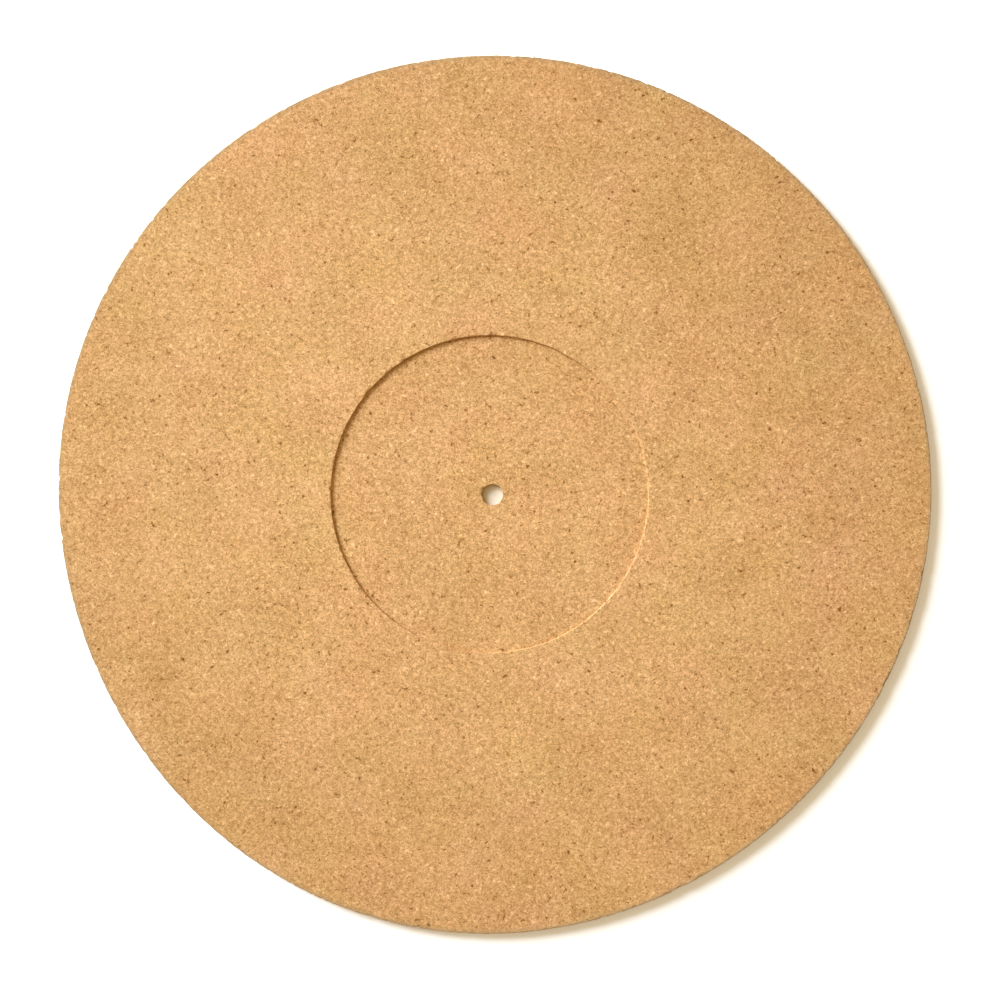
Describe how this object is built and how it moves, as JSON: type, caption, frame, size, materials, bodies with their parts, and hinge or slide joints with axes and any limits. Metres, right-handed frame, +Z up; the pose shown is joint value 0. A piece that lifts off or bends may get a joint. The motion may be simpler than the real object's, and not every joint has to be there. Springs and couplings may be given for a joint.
{
  "type": "turntable platter mat",
  "caption": "Thin round mat of pressed cork granules with a central spindle hole and a shallow recess for a record's label.",
  "frame": {"origin": "centre of the underside, on the spindle hole's axis", "axes": "+Z up along the spindle hole's axis, out of the face that carries the record"},
  "size_m": [0.3, 0.3, 0.003],
  "materials": {
    "pressed_cork": "matt, sanded"
  },
  "bodies": {
    "root": {"cork_mat": "pressed_cork"}
  },
  "joints": []
}
